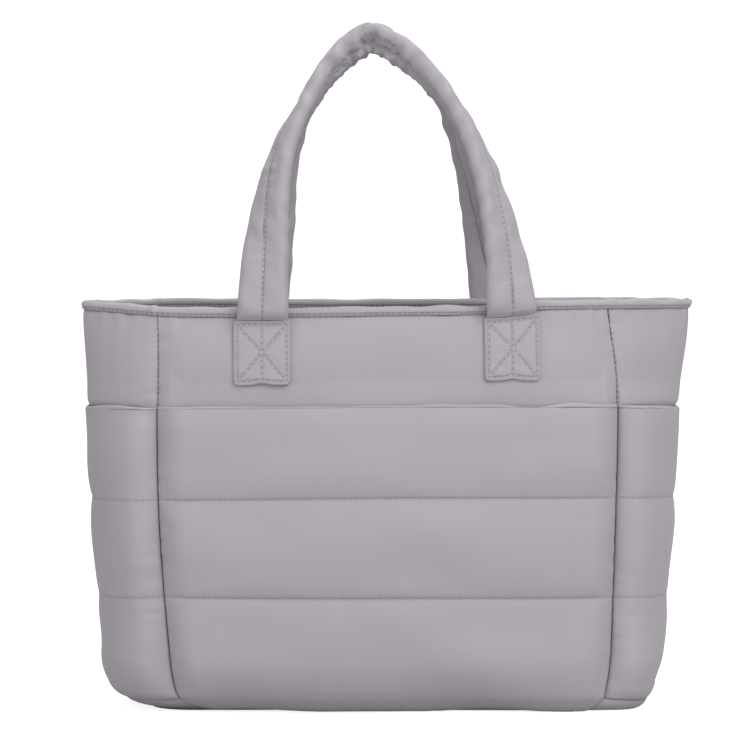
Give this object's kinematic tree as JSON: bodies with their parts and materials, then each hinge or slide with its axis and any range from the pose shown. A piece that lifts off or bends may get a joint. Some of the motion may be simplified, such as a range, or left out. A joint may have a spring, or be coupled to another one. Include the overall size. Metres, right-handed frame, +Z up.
{
  "type": "puffer tote bag",
  "caption": "Quilted puffer tote with padded panels, a front slip pocket, side slip pockets, a stitched hem and padded carrying handles on sewn tabs.",
  "frame": {"origin": "middle of the footprint, on the surface the bag stands on", "axes": "+Z up, -Y out of the front with the slip pocket, +X to the right of someone who faces the front"},
  "size_m": [0.4426, 0.1422, 0.4908],
  "materials": {
    "shell_cloth": "matt quilted nylon",
    "strap_cloth": "matt padded nylon",
    "base_cloth": "matt nylon"
  },
  "bodies": {
    "root": {"front_panel": "shell_cloth", "back_panel": "shell_cloth", "gusset_left": "shell_cloth", "gusset_right": "shell_cloth", "front_pocket": "shell_cloth", "side_pocket_left": "shell_cloth", "side_pocket_right": "shell_cloth", "rim_hem": "shell_cloth", "base_panel": "base_cloth", "handle_front": "strap_cloth", "handle_back": "strap_cloth", "tab_front_left": "strap_cloth", "tab_front_right": "strap_cloth", "tab_back_left": "strap_cloth", "tab_back_right": "strap_cloth"}
  },
  "joints": []
}
